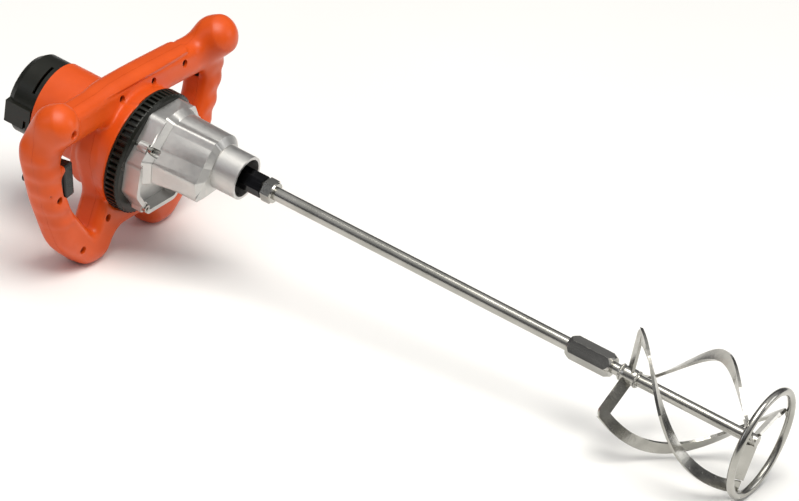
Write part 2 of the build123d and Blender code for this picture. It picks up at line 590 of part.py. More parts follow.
def make_speed_control():
    """Speed wheel, and the module that carries its pin; returns the space that they need."""
    axis = Plane(frame_point(*DIAL_AT, 0), z_dir=frame_plane(0).z_dir)
    wheel = Cylinder(DIAL_R, DIAL_T)
    for i in range(24):
        wheel -= Rot(0, 0, 15 * i) * Pos(DIAL_R, 0, 0) * Box(1.4, 1.2, DIAL_T + 1)
    wheel -= Cylinder(2.5 + RUN_FIT, DIAL_T + 1)
    save("speed_dial", axis * wheel)

    def module(grow):
        pin = axis * Cylinder(2.5 + grow, 24 + 2 * grow)
        pot = frame_plane(-9.4) * Pos(DIAL_AT[0] + 9, DIAL_AT[1], 0) * Box(
            14 + 2 * grow, 16 + 2 * grow, 8.6 + 2 * grow)
        board = frame_plane(-9.4) * Pos(DIAL_AT[0] + 7, DIAL_AT[1] - 20, 0) * Rot(0, 0, -20) * Box(
            8 + 2 * grow, 34 + 2 * grow, 8.6 + 2 * grow)
        return pin + pot + board

    save("speed_module", module(0))
    return module(POCKET) + axis * Cylinder(DIAL_R + 0.6, DIAL_T + 1.2)


def make_controls(front, rear):
    """Cut the control openings into both shells and make the controls that sit in them."""
    for room in (make_trigger(), make_speed_control()):
        front, rear = front - room, rear - room

    back = frame_plane(-FRAME_HALF)
    button_at = Plane(frame_point(*LOCK_AT, -FRAME_HALF), z_dir=back.z_dir)
    rear -= button_at * Cylinder(LOCK_R + 0.4, 2 * LOCK_LONG + 2)
    save("lock_button", button_at * Pos(0, 0, LOCK_LONG / 2 - LOCK_PROUD) * fillet(
        Cylinder(LOCK_R, LOCK_LONG).edges(), 0.8))

    gland_at = Plane(frame_point(0, GLAND_H, -FRAME_HALF), z_dir=back.z_dir)
    rear += gland_at * Pos(0, 0, 3) * Cylinder(9.5, 6)
    rear -= gland_at * Cylinder(6.6, 14)
    gland = gland_at * (Cylinder(6.5, 11) + Pos(0, 0, -3.5) * Cylinder(8.5, 5))
    save("cord_gland", gland - gland_at * Cylinder(4.1, 30))
    return front, rear


if __name__ == "__main__":
    make_whisk()
    make_drive()
    make_motor()
    make_gearbox()
    shell_front, shell_rear, frame_screws = make_handles()
    shell_front, shell_rear = make_controls(shell_front, shell_rear)
    save("handle_shell_front", shell_front)
    save("handle_shell_rear", shell_rear)
    save("handle_screws", *frame_screws)
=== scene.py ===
# %% [markdown]
# # A two-handed paint mixer, dressed for its portrait
# The tool is an electric motor between two hand grips, a cast gear case on its nose, and a long
# steel rod with a three-bladed whisk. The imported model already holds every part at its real
# size, so this file only gives those parts their looks: rounder mouldings, ribs, screws, welds
# and finishes. Everything is in metres: +X runs along the spindle towards the whisk, +Z is up
# and +Y runs from the trigger grip to the dial grip.

import json
from math import atan2, cos, pi, radians, sin

import bmesh
import bpy
import numpy
from mathutils import Matrix, Vector


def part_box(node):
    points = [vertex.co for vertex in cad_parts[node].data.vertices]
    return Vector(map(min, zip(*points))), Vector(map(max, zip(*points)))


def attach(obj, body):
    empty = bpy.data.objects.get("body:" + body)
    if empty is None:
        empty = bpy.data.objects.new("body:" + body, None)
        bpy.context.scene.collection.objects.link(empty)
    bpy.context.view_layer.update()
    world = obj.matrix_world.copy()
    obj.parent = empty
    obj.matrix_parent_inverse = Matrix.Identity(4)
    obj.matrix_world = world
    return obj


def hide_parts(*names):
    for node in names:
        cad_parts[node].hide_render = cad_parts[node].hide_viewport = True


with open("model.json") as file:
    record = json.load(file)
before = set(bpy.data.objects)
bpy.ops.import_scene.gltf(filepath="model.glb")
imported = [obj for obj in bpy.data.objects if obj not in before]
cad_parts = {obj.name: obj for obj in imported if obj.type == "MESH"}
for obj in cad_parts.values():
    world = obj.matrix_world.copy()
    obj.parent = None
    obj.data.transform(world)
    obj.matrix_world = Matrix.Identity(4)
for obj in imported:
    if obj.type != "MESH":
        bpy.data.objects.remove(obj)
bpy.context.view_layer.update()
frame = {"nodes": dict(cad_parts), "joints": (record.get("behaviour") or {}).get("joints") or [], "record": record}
MM = 0.001
print("nodes in the packed model:", len(frame["nodes"]))

# %% [markdown]
# ## Where things are
# Three lines of the tool matter: the spindle axis (y = z = 0), the motor axis just below it, and
# the tilted plane of the handle body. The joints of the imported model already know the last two,
# so they are read from there and not measured again.

# %% Axes and planes
joints = {joint["name"]: joint for joint in frame["joints"]}
MOTOR_Z = joints["armature_spin"]["pos_m"][2]
dial_centre = Vector(joints["speed_dial_turn"]["pos_m"])
forward = Vector(joints["speed_dial_turn"]["axis"]).normalized()
across = Vector((0, 1, 0))
upward = forward.cross(across)
DIAL_H = 10 * MM
frame_middle = dial_centre - across * dial_centre.y - upward * DIAL_H


def on_frame(y, h, n):
    """Point of the handle body: y across, h up its tilted plane, n forward of its middle."""
    return frame_middle + across * y + upward * h + forward * n


def frame_coords(point):
    """The inverse of on_frame."""
    offset = point - frame_middle
    return offset.y, offset.dot(upward), offset.dot(forward)


print("motor axis at z", MOTOR_Z, "handle plane leans", forward[:])

# %% [markdown]
# ## Camera
# A long lens far away keeps the rod's taper gentle, as product pictures do. The camera looks
# down over the trigger grip and is rolled a little, so the tool lies diagonally in the frame.

# %% Camera
AZIMUTH, ELEVATION, ROLL = radians(25.7), radians(30.8), radians(13.4)
DISTANCE = 4.93
TARGET = Vector((0.1835, 0, 0.007))
back = Vector((cos(ELEVATION) * sin(AZIMUTH), -cos(ELEVATION) * cos(AZIMUTH), sin(ELEVATION)))
level = Vector((cos(AZIMUTH), sin(AZIMUTH), 0))
right = level * cos(ROLL) + back.cross(level) * sin(ROLL)
camera = bpy.data.objects.new("camera", bpy.data.cameras.new("camera"))
camera.data.lens = 225.3
camera.data.sensor_width = 36
place = Matrix((right, back.cross(right), back)).transposed().to_4x4()
place.translation = TARGET + back * DISTANCE
camera.matrix_world = place
bpy.context.scene.collection.objects.link(camera)
bpy.context.scene.camera = camera
bpy.context.scene.view_settings.view_transform = "Standard"
print("camera at", tuple(round(v, 3) for v in place.translation))

# %% [markdown]
# ## Floor and light
# The mixer rests on the feet of its two hand loops and on the tip ring, so the floor passes
# through those points: seen from the tool, it slopes down towards the whisk. The light is a
# large soft box overhead with weaker ones at both sides. The room is dim at eye level and pale
# above, because bright metal only looks like metal when it has something dark to mirror.

# %% Floor and lights
foot = min((vertex.co for vertex in frame["nodes"]["handle_shell_front"].data.vertices),
           key=lambda co: co.z)
tip_low, tip_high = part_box("tip_ring")
tip = Vector((0.5 * (tip_low[0] + tip_high[0]), 0, tip_low[2]))
slope = atan2(foot.z - tip.z, tip.x - foot.x)
FLOOR_HALF = 6.0
LIGHTS_AIM = Vector((0.15, 0, 0))
floor_along = Vector((cos(slope), 0, -sin(slope)))
floor_up = Vector((sin(slope), 0, cos(slope)))
FLOOR_GAP = 0.5 * MM
floor_at = Vector((foot.x, 0, foot.z)) - floor_up * FLOOR_GAP
floor_mesh = bpy.data.meshes.new("floor")
floor_mesh.from_pydata([floor_at + floor_along * a + across * b
                        for a, b in ((-FLOOR_HALF, -FLOOR_HALF), (FLOOR_HALF, -FLOOR_HALF),
                                     (FLOOR_HALF, FLOOR_HALF), (-FLOOR_HALF, FLOOR_HALF))],
                       [], [(0, 1, 2, 3)])
floor = bpy.data.objects.new("floor", floor_mesh)
bpy.context.scene.collection.objects.link(floor)


def soft_box(name, at, size, power, tint=(1, 1, 1)):
    """Square area light that looks at the middle of the tool."""
    light = bpy.data.lights.new(name, "AREA")
    light.size = size
    light.energy = power
    light.color = tint
    lamp = bpy.data.objects.new(name, light)
    lamp.location = at
    lamp.rotation_euler = (LIGHTS_AIM - Vector(at)).to_track_quat("-Z", "Y").to_euler()
    bpy.context.scene.collection.objects.link(lamp)


soft_box("overhead", (0.35, -0.4, 3.0), 2.0, 88, (1, 0.97, 0.91))
soft_box("left_fill", (-1.9, -1.9, 1.2), 1.2, 6, (0.9, 0.93, 1))
soft_box("right_rim", (2.2, 1.4, 1.3), 1.2, 10)

world = bpy.data.worlds.new("studio")
bpy.context.scene.world = world
world.use_nodes = True
surround = world.node_tree.nodes["Background"]
view = world.node_tree.nodes.new("ShaderNodeTexCoord")
split = world.node_tree.nodes.new("ShaderNodeSeparateXYZ")
walls = world.node_tree.nodes.new("ShaderNodeValToRGB")
HORIZON, CEILING = 0.10, 0.60
walls.color_ramp.elements[0].position = 0.40
walls.color_ramp.elements[0].color = (HORIZON, HORIZON, HORIZON * 1.06, 1)
walls.color_ramp.elements[1].position = 0.78
walls.color_ramp.elements[1].color = (CEILING, CEILING, CEILING, 1)
world.node_tree.links.new(view.outputs["Generated"], split.inputs[0])
world.node_tree.links.new(split.outputs["Z"], walls.inputs["Fac"])
world.node_tree.links.new(walls.outputs["Color"], surround.inputs["Color"])
print("floor slopes", round(slope / pi * 180, 2), "degrees")

# %% [markdown]
# ## A small kit for finishes
# Every finish is a Principled shader with a fine bump and a slowly drifting roughness, both from
# noise in object coordinates. Three helpers keep the recipes short: one makes the material, one
# adds a noise whose grain may be stretched along an axis, and one turns noise into bump.

# %% Material helpers
def new_material(name, colour, roughness, metallic=0.0):
    """Principled material; returns it with its node tree and shader."""
    material = bpy.data.materials.new(name)
    material.use_nodes = True
    tree = material.node_tree
    shader = tree.nodes["Principled BSDF"]
    shader.inputs["Base Color"].default_value = (*colour, 1)
    shader.inputs["Roughness"].default_value = roughness
    shader.inputs["Metallic"].default_value = metallic
    return material, tree, shader


def noise(tree, scale, detail=3.0, stretch=(1, 1, 1)):
    """Noise in object coordinates; stretch above 1 makes its grain finer along that axis."""
    coords = tree.nodes.new("ShaderNodeTexCoord")
    mapping = tree.nodes.new("ShaderNodeMapping")
    mapping.inputs["Scale"].default_value = stretch
    texture = tree.nodes.new("ShaderNodeTexNoise")
    texture.inputs["Scale"].default_value = scale
    texture.inputs["Detail"].default_value = detail
    tree.links.new(coords.outputs["Object"], mapping.inputs["Vector"])
    tree.links.new(mapping.outputs["Vector"], texture.inputs["Vector"])
    return texture.outputs["Fac"]


def spread(tree, value, low, high):
    """Maps noise to the range low to high."""
    node = tree.nodes.new("ShaderNodeMapRange")
    node.inputs["From Min"].default_value = 0.3
    node.inputs["From Max"].default_value = 0.7
    node.inputs["To Min"].default_value = low
    node.inputs["To Max"].default_value = high
    tree.links.new(value, node.inputs["Value"])
    return node.outputs["Result"]


def tinted(tree, value, colour_a, colour_b):
    """Colour that drifts from a to b with the noise."""
    ramp = tree.nodes.new("ShaderNodeValToRGB")
    ramp.color_ramp.elements[0].position = 0.35
    ramp.color_ramp.elements[1].position = 0.65
    ramp.color_ramp.elements[0].color = (*colour_a, 1)
    ramp.color_ramp.elements[1].color = (*colour_b, 1)
    tree.links.new(value, ramp.inputs["Fac"])
    return ramp.outputs["Color"]


def bump(tree, shader, height, distance, strength=1.0):
    """Feeds a height into the shader's normal, after any bump that is already there."""
    node = tree.nodes.new("ShaderNodeBump")
    node.inputs["Distance"].default_value = distance
    node.inputs["Strength"].default_value = strength
    tree.links.new(height, node.inputs["Height"])
    before = shader.inputs["Normal"].links
    if before:
        tree.links.new(before[0].from_socket, node.inputs["Normal"])
    tree.links.new(node.outputs["Normal"], shader.inputs["Normal"])


# %% [markdown]
# ## Moulded plastics
# The handle body and the barrel are glass-filled nylon, spark-eroded to a fine satin grain that
# keeps a slippery hand from sliding. The black pieces have the same grain; the trigger, the
# wheel and the button are smoother and shine more.

# %% Plastic finishes
def moulded(name, colour_a, colour_b, roughness, grain=0.02 * MM, shine=0.3):
    """Satin moulded plastic: drifting colour, fine spark-eroded grain, handled patches."""
    material, tree, shader = new_material(name, colour_a, roughness)
    shader.inputs["Specular IOR Level"].default_value = shine
    tree.links.new(tinted(tree, noise(tree, 24, 4), colour_a, colour_b), shader.inputs["Base Color"])
    tree.links.new(spread(tree, noise(tree, 60, 4), roughness - 0.05, roughness + 0.06),
                   shader.inputs["Roughness"])
    bump(tree, shader, noise(tree, 2200, 2), grain)
    bump(tree, shader, noise(tree, 45, 2), 0.12 * MM, 0.5)
    return material


orange_plastic = moulded("orange_plastic", (0.66, 0.078, 0.006), (0.72, 0.090, 0.008), 0.36,
                         shine=0.36)
black_plastic = moulded("black_plastic", (0.007, 0.0075, 0.005), (0.011, 0.0115, 0.008), 0.32)
control_plastic = moulded("control_plastic", (0.008, 0.009, 0.008), (0.012, 0.013, 0.011), 0.24,
                          0.006 * MM)
fan_plastic = moulded("fan_plastic", (0.62, 0.60, 0.54), (0.7, 0.68, 0.62), 0.45)
seal_rubber = moulded("seal_rubber", (0.011, 0.011, 0.011), (0.02, 0.02, 0.02), 0.6)
carbon = moulded("carbon", (0.02, 0.02, 0.021), (0.03, 0.03, 0.031), 0.55)

# %% [markdown]
# ## Metals
# The gear case is cast aluminium, blasted with glass beads: a matt skin of tiny dimples. The rod
# and the whisk are drawn and rolled steel under bright zinc, with faint streaks along the rod.
# The spindle nose is black oxide over ground steel.

# %% Metal finishes
def metal(name, colour_a, colour_b, roughness, drift, grain_scale, grain, stretch=(1, 1, 1)):
    """Metal with drifting roughness and a grain that may run one way."""
    material, tree, shader = new_material(name, colour_a, roughness, 1.0)
    tree.links.new(tinted(tree, noise(tree, 30, 4), colour_a, colour_b), shader.inputs["Base Color"])
    tree.links.new(spread(tree, noise(tree, grain_scale / 6, 4, stretch), roughness - drift,
                          roughness + drift), shader.inputs["Roughness"])
    bump(tree, shader, noise(tree, grain_scale, 3, stretch), grain)
    return material


ALONG_ROD = (0.02, 1, 1)
ROUND_ROD = (1, 0.02, 0.02)
cast_aluminium = metal("cast_aluminium", (0.55, 0.545, 0.53), (0.63, 0.62, 0.60), 0.46, 0.05,
                       1700, 0.05 * MM)
zinc_steel = metal("zinc_steel", (0.36, 0.355, 0.325), (0.46, 0.45, 0.42), 0.22, 0.07,
                   900, 0.012 * MM, ALONG_ROD)
bearing_steel = metal("bearing_steel", (0.62, 0.62, 0.63), (0.68, 0.68, 0.68), 0.22, 0.05,
                      1200, 0.008 * MM, ROUND_ROD)
black_steel = metal("black_steel", (0.018, 0.018, 0.020), (0.03, 0.03, 0.032), 0.22, 0.06,
                    1300, 0.01 * MM, ALONG_ROD)
screw_steel = metal("screw_steel", (0.05, 0.05, 0.052), (0.09, 0.09, 0.09), 0.34, 0.07, 1500,
                    0.01 * MM)
lamination_steel = metal("lamination_steel", (0.25, 0.26, 0.27), (0.33, 0.33, 0.34), 0.4, 0.08,
                         1500, 0.05 * MM, ROUND_ROD)
copper = metal("copper", (0.72, 0.30, 0.12), (0.80, 0.38, 0.17), 0.26, 0.06, 900, 0.03 * MM)
bronze = metal("bronze", (0.52, 0.35, 0.14), (0.62, 0.43, 0.20), 0.4, 0.06, 1500, 0.03 * MM)

floor_finish, floor_tree, floor_shader = new_material("floor_finish", (0.93, 0.93, 0.92), 0.75)
floor_tree.links.new(tinted(floor_tree, noise(floor_tree, 3, 2), (0.92, 0.92, 0.91),
                            (0.94, 0.94, 0.93)), floor_shader.inputs["Base Color"])
floor.data.materials.append(floor_finish)

finishes = {
    "orange_plastic": orange_plastic, "black_plastic": black_plastic,
    "control_plastic": control_plastic, "cast_aluminium": cast_aluminium,
    "zinc_steel": zinc_steel, "black_steel": black_steel, "screw_steel": screw_steel,
    "bearing_steel": bearing_steel, "lamination_steel": lamination_steel, "copper": copper,
    "bronze": bronze, "carbon": carbon, "fan_plastic": fan_plastic, "seal_rubber": seal_rubber,
}
slot_of = {part["node"]: part["material_slot"] for part in frame["record"]["subparts"]}
for node, thing in frame["nodes"].items():
    thing.data.materials.clear()
    thing.data.materials.append(finishes[slot_of[node]])
print("finishes:", len(finishes))

# %% [markdown]
# ## From CAD mesh to Blender piece
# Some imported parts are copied, softened and shown in place of the originals. A copy starts as
# loose triangles, so its doubles are merged first. Modifiers are applied by taking the evaluated
# mesh, which leaves a plain piece at the origin. Volumes are cut with the manifold boolean, which
# is quick and exact on closed shapes.

# %% Mesh helpers
MERGE = 0.004 * MM


def add_object(name, mesh):
    thing = bpy.data.objects.new(name, mesh)
    bpy.context.scene.collection.objects.link(thing)
    return thing


def copy_of(name, node):
    """A copy of this node's CAD mesh as a new object, its loose triangles joined."""
    shape = bmesh.new()
    shape.from_mesh(frame["nodes"][node].data)
    bmesh.ops.remove_doubles(shape, verts=shape.verts, dist=MERGE)
    mesh = bpy.data.meshes.new(name)
    shape.to_mesh(mesh)
    shape.free()
    return add_object(name, mesh)


def applied(thing):
    """Replaces the object's mesh with its evaluated one and clears its modifiers."""
    graph = bpy.context.evaluated_depsgraph_get()
    mesh = bpy.data.meshes.new_from_object(thing.evaluated_get(graph))
    thing.modifiers.clear()
    thing.data = mesh
    return thing


def boolean(thing, other, operation):
    """Cuts or joins with the manifold solver, then throws the other object away."""
    cut = thing.modifiers.new("boolean", "BOOLEAN")
    cut.operation = operation
    cut.object = other
    cut.solver = "MANIFOLD"
    applied(thing)
    bpy.data.objects.remove(other)
    return thing


def dress(thing, body, *nodes, smooth=35):
    """Gives a finished piece its material and its body, and hides the CAD nodes it stands for."""
    mesh = thing.data
    mesh.materials.clear()
    mesh.materials.append(finishes[slot_of[nodes[0]]])
    if smooth:
        mesh.shade_smooth()
        mesh.set_sharp_from_angle(angle=radians(smooth))
    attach(thing, body)
    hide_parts(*nodes)
    print(thing.name, "faces", len(mesh.polygons))


def axes_matrix(origin, x_dir, y_dir, z_dir):
    place = Matrix((x_dir, y_dir, z_dir)).transposed().to_4x4()
    place.translation = origin
    return place


def add_box(shape, place, low, high):
    """Adds a box, given by two corners in a local frame, to a bmesh."""
    middle = (Vector(low) + Vector(high)) / 2
    size = Vector(high) - Vector(low)
    grow = Matrix.Translation(middle) @ Matrix.Diagonal((*size, 1))
    bmesh.ops.create_cube(shape, size=1, matrix=place @ grow)


def add_rod(shape, place, radius, low, high, sides=48):
    """Adds a closed cylinder along the local z of a frame to a bmesh."""
    middle = Matrix.Translation((0, 0, (low + high) / 2))
    bmesh.ops.create_cone(shape, cap_ends=True, segments=sides, radius1=radius, radius2=radius,
                          depth=high - low, matrix=place @ middle)


def object_from(name, shape):
    mesh = bpy.data.meshes.new(name)
    shape.to_mesh(mesh)
    shape.free()
    return add_object(name, mesh)


# %% [markdown]
# ## The handle body, step 1: one soft lump
# The real body is two nylon clamshells whose bulbs, grips and bell flow into each other. CAD
# gives exact but hard-edged unions. Filling the screw wells and slots, remeshing the whole body
# into even voxels and letting its vertices relax turns every inner corner into a soft moulded
# fillet. Relaxing is strongest round the four places where the bulbs grow out of the frame.

# %% Fill the wells
trigger_x = -Vector(joints["trigger_press"]["axis"]).normalized()
TRIGGER_AT = on_frame(-120 * MM, -27 * MM, 7 * MM)
trigger_place = axes_matrix(TRIGGER_AT, trigger_x, forward.cross(trigger_x), forward)
frame_place = axes_matrix(frame_middle, across, upward, forward)
dial_place = axes_matrix(dial_centre, across, upward, forward)
LOCK_AT = (-141 * MM, -22 * MM)
GLAND_H = -98 * MM
HALF_DEPTH = 18 * MM
SKIN_DEEP = HALF_DEPTH - 0.3 * MM


def islands(shape):
    """Lists of a bmesh's vertices, one for each run that isn't joined to the others."""
    left = set(shape.verts)
    found = []
    while left:
        heap = [left.pop()]
        group = list(heap)
        while heap:
            for edge in heap.pop().link_edges:
                for vert in edge.verts:
                    if vert in left:
                        left.remove(vert)
                        heap.append(vert)
                        group.append(vert)
        found.append(group)
    return found


screws = bmesh.new()
screws.from_mesh(frame["nodes"]["handle_screws"].data)
bmesh.ops.remove_doubles(screws, verts=screws.verts, dist=MERGE)
screw_wells = []
for group in islands(screws):
    spots = [frame_coords(vert.co) for vert in group]
    screw_wells.append((sum(y for y, _, _ in spots) / len(spots),
                        sum(h for _, h, _ in spots) / len(spots)))
screws.free()
screw_wells.sort()
print("screw wells:", len(screw_wells))


def well_place(y, h):
    return axes_matrix(on_frame(y, h, 0), across, upward, forward)


body_shape = bmesh.new()
for node in ("handle_shell_front", "handle_shell_rear"):
    body_shape.from_mesh(frame["nodes"][node].data)
bmesh.ops.remove_doubles(body_shape, verts=body_shape.verts, dist=MERGE)
for y, h in screw_wells:
    add_rod(body_shape, well_place(y, h), 4.8 * MM, -16.5 * MM, SKIN_DEEP, 24)
add_box(body_shape, trigger_place, (-14 * MM, -21 * MM, -10 * MM), (-1.5 * MM, 21 * MM, 9.5 * MM))
add_box(body_shape, dial_place, (-2.8 * MM, -14 * MM, -5.5 * MM), (13 * MM, 14 * MM, 5.5 * MM))
add_rod(body_shape, well_place(*LOCK_AT), 5.9 * MM, -SKIN_DEEP, -9 * MM)
add_rod(body_shape, well_place(0, GLAND_H), 7.2 * MM, -SKIN_DEEP, -11.5 * MM)
handle = object_from("handle", body_shape)

# %% Remesh and relax
VOXEL = 1.5 * MM
remesh = handle.modifiers.new("voxels", "REMESH")
remesh.mode = "VOXEL"
remesh.voxel_size = VOXEL
applied(handle)

skin = bmesh.new()
skin.from_mesh(handle.data)
groups = sorted(islands(skin), key=len)
bmesh.ops.delete(skin, geom=[vert for group in groups[:-1] for vert in group], context="VERTS")
skin.to_mesh(handle.data)
skin.free()
print("handle skin:", len(handle.data.vertices), "vertices; inner skins dropped:", len(groups) - 1)


def vertex_array(mesh):
    flat = numpy.empty(3 * len(mesh.vertices))
    mesh.vertices.foreach_get("co", flat)
    return flat.reshape(-1, 3)


def relax(mesh, weights, rounds):
    """Moves each vertex towards the middle of its neighbours, by its weight."""
    at = vertex_array(mesh)
    ends = numpy.empty(2 * len(mesh.edges), dtype=int)
    mesh.edges.foreach_get("vertices", ends)
    a, b = ends.reshape(-1, 2).T
    count = numpy.bincount(a, minlength=len(at)) + numpy.bincount(b, minlength=len(at))
    for _ in range(rounds):
        for axis in range(3):
            column = at[:, axis]
            total = (numpy.bincount(a, column[b], len(at)) + numpy.bincount(b, column[a], len(at)))
            at[:, axis] = column + 0.5 * weights * (total / count - column)
    mesh.vertices.foreach_set("co", at.ravel())
    mesh.update()


def step(value, low, high):
    """Smooth 0 to 1 as the value goes from low to high."""
    t = numpy.clip((value - low) / (high - low), 0, 1)
    return t * t * (3 - 2 * t)


def frame_arrays(at):
    offset = at - numpy.array(frame_middle)
    return offset[:, 1], offset @ numpy.array(upward), offset @ numpy.array(forward)


BULB_Y, BULB_H, BULB_N, BULB_R = 141 * MM, 42 * MM, 14 * MM, 25 * MM
ROUNDS_ALL, ROUNDS_NECK = 5, 150
relax(handle.data, numpy.ones(len(handle.data.vertices)), ROUNDS_ALL)
y, h, n = frame_arrays(vertex_array(handle.data))
from_bulb = numpy.sqrt((abs(y) - BULB_Y) ** 2 + (h - BULB_H) ** 2 + (n - BULB_N) ** 2)
neck = 1 - step(abs(from_bulb - BULB_R), 6 * MM, 16 * MM)
neck *= 1 - step(n - BULB_N + 0.6 * (h - BULB_H), 8 * MM, 18 * MM)
relax(handle.data, neck, ROUNDS_NECK)
print("relaxed")

# %% [markdown]
# ## The handle body, step 2: pad and finger ridges
# A thumb pad runs along the top of the crossbar, its edge a low rounded step, and each grip has
# shallow waves for the fingers. Both follow a simple rule of the place on the frame, so they are
# written as a formula that pushes vertices out along their normals.

# %% Push out the pad and the ridges
PAD_END, PAD_LOW, PAD_ROUND = 90 * MM, 41 * MM, 8 * MM
PAD_RISE = 2.6 * MM
RIDGE_PITCH, RIDGE_RISE = 21 * MM, 0.9 * MM
at = vertex_array(handle.data)
y, h, n = frame_arrays(at)
normals = numpy.empty(3 * len(at))
handle.data.vertices.foreach_get("normal", normals)
normals = normals.reshape(-1, 3)
corner = numpy.hypot(numpy.maximum(y - PAD_END, 0), numpy.maximum(PAD_LOW + PAD_ROUND - h, 0))
pad = 1 - step(corner - PAD_ROUND, -1.1 * MM, 1.1 * MM)
pad *= step(y, -62 * MM, -30 * MM) * step(h, 15 * MM, 20 * MM)
bar = (1 - step(abs(y), 100 * MM, 122 * MM)) * step(h, 20 * MM, 34 * MM)
rise = PAD_RISE * pad - 0.5 * PAD_RISE * bar
outward = normals @ numpy.array(forward) * 0.75 + normals[:, 1] * numpy.sign(y) * 0.65
on_grip = (step(abs(y), 92 * MM, 104 * MM) * step(h, -84 * MM, -70 * MM)
           * (1 - step(h, 0, 16 * MM)) * step(outward, 0.1, 0.8))
rise += RIDGE_RISE * on_grip * numpy.sin(2 * pi * (h - 6 * MM) / RIDGE_PITCH)
at += normals * rise[:, None]
handle.data.vertices.foreach_set("co", at.ravel())
handle.data.update()
print("pad vertices", int((pad > 0.5).sum()), "ridge vertices", int((on_grip > 0.5).sum()))

# %% [markdown]
# ## The handle body, step 3: crisp openings and the parting line
# Screw wells, the trigger slot with its thumb scoop, the wheel slot, the lock button's hole and
# the cord gland's seat are cut last, so their edges stay crisp. Then the body is parted in two
# along the real parting plane, with a hair of a gap.

# %% Cut and part
HEAD_SEAT = 11 * MM
WELL_R, DIAL_SLOT_R, LOCK_HOLE_R, GLAND_SEAT_R = 4.25 * MM, 12.8 * MM, 5.5 * MM, 6.8 * MM
SCOOP_R, SCOOP_OUT = 20 * MM, 9 * MM
PARTING, GAP = 4 * MM, 0.12 * MM
wells = bmesh.new()
for y_well, h_well in screw_wells:
    add_rod(wells, well_place(y_well, h_well), WELL_R, HEAD_SEAT, 45 * MM, 32)
boolean(handle, object_from("wells", wells), "DIFFERENCE")
slots = bmesh.new()
add_box(slots, trigger_place, (-10 * MM, -19.5 * MM, -8.5 * MM), (15 * MM, 19.5 * MM, 8.5 * MM))
boolean(handle, object_from("trigger_slot", slots), "DIFFERENCE")
scoop = bmesh.new()
scoop_place = trigger_place @ Matrix.Translation((SCOOP_OUT, 0, 0))
add_rod(scoop, scoop_place, SCOOP_R, 7.8 * MM, 28 * MM, 96)
scoop = object_from("scoop", scoop)
soften = scoop.modifiers.new("soften", "BEVEL")
soften.width = 2 * MM
soften.segments = 4
applied(scoop)
boolean(handle, scoop, "DIFFERENCE")
others = bmesh.new()
add_rod(others, dial_place, DIAL_SLOT_R, -4.2 * MM, 4.2 * MM)
add_rod(others, well_place(*LOCK_AT), LOCK_HOLE_R, -30 * MM, -7 * MM)
add_rod(others, well_place(0, GLAND_H), GLAND_SEAT_R, -30 * MM, -11 * MM)
boolean(handle, object_from("small_holes", others), "DIFFERENCE")

WIDE = 400 * MM
for name, low, high in (("handle_shell_front", PARTING + GAP, WIDE),
                        ("handle_shell_rear", -WIDE, PARTING - GAP)):
    half = add_object(name + "_moulded", handle.data.copy())
    side = bmesh.new()
    add_box(side, frame_place, (-WIDE, -WIDE, low), (WIDE, WIDE, high))
    boolean(half, object_from("side", side), "INTERSECT")
    dress(half, "housing", name, smooth=40)
bpy.data.objects.remove(handle)

# %% [markdown]
# ## The vent ring: ribs by Geometry Nodes
# Cooling air leaves the motor through a black ring between the handle body and the gear case.
# It is a hoop with a rim at each end and a fence of ribs between them. The hoop is turned from a
# profile; the ribs repeat, so a node tree sets one rib round the motor axis as many times as
# asked, and ends in plain mesh with its material.

# %% A node tree that repeats a piece round an axis
def ring_tree():
    tree = bpy.data.node_groups.new("repeat_round_axis", "GeometryNodeTree")
    face = tree.interface
    sockets = {}
    for name, kind in (("Piece", "NodeSocketObject"), ("Count", "NodeSocketInt"),
                       ("Radius", "NodeSocketFloat"), ("Centre", "NodeSocketVector"),
                       ("First Angle", "NodeSocketFloat"), ("Finish", "NodeSocketMaterial")):
        sockets[name] = face.new_socket(name, in_out="INPUT", socket_type=kind).identifier
    face.new_socket("Geometry", in_out="OUTPUT", socket_type="NodeSocketGeometry")
    new, link = tree.nodes.new, tree.links.new
    given, out = new("NodeGroupInput"), new("NodeGroupOutput")

    def math(kind, a, b=None):
        node = new("ShaderNodeMath")
        node.operation = kind
        for socket, value in zip(node.inputs, (a, b)):
            if isinstance(value, (int, float)):
                socket.default_value = value
            elif value is not None:
                link(value, socket)
        return node.outputs[0]

    turn = math("MULTIPLY", new("GeometryNodeInputIndex").outputs[0],
                math("DIVIDE", 2 * pi, given.outputs["Count"]))
    angle = math("ADD", turn, given.outputs["First Angle"])
    spot = new("ShaderNodeCombineXYZ")
    link(math("MULTIPLY", math("COSINE", angle), given.outputs["Radius"]), spot.inputs["Y"])
    link(math("MULTIPLY", math("SINE", angle), given.outputs["Radius"]), spot.inputs["Z"])
    place = new("ShaderNodeVectorMath")
    link(spot.outputs[0], place.inputs[0])
    link(given.outputs["Centre"], place.inputs[1])
    points = new("GeometryNodePoints")
    link(given.outputs["Count"], points.inputs["Count"])
    link(place.outputs[0], points.inputs["Position"])
    turned = new("ShaderNodeCombineXYZ")
    link(angle, turned.inputs["X"])
    piece = new("GeometryNodeObjectInfo")
    link(given.outputs["Piece"], piece.inputs["Object"])
    repeat = new("GeometryNodeInstanceOnPoints")
    link(points.outputs[0], repeat.inputs["Points"])
    link(piece.outputs["Geometry"], repeat.inputs["Instance"])
    link(turned.outputs[0], repeat.inputs["Rotation"])
    real = new("GeometryNodeRealizeInstances")
    link(repeat.outputs[0], real.inputs[0])
    finish = new("GeometryNodeSetMaterial")
    link(real.outputs[0], finish.inputs["Geometry"])
    link(given.outputs["Finish"], finish.inputs["Material"])
    link(finish.outputs[0], out.inputs[0])
    return tree, sockets


REPEAT, REPEAT_INPUT = ring_tree()


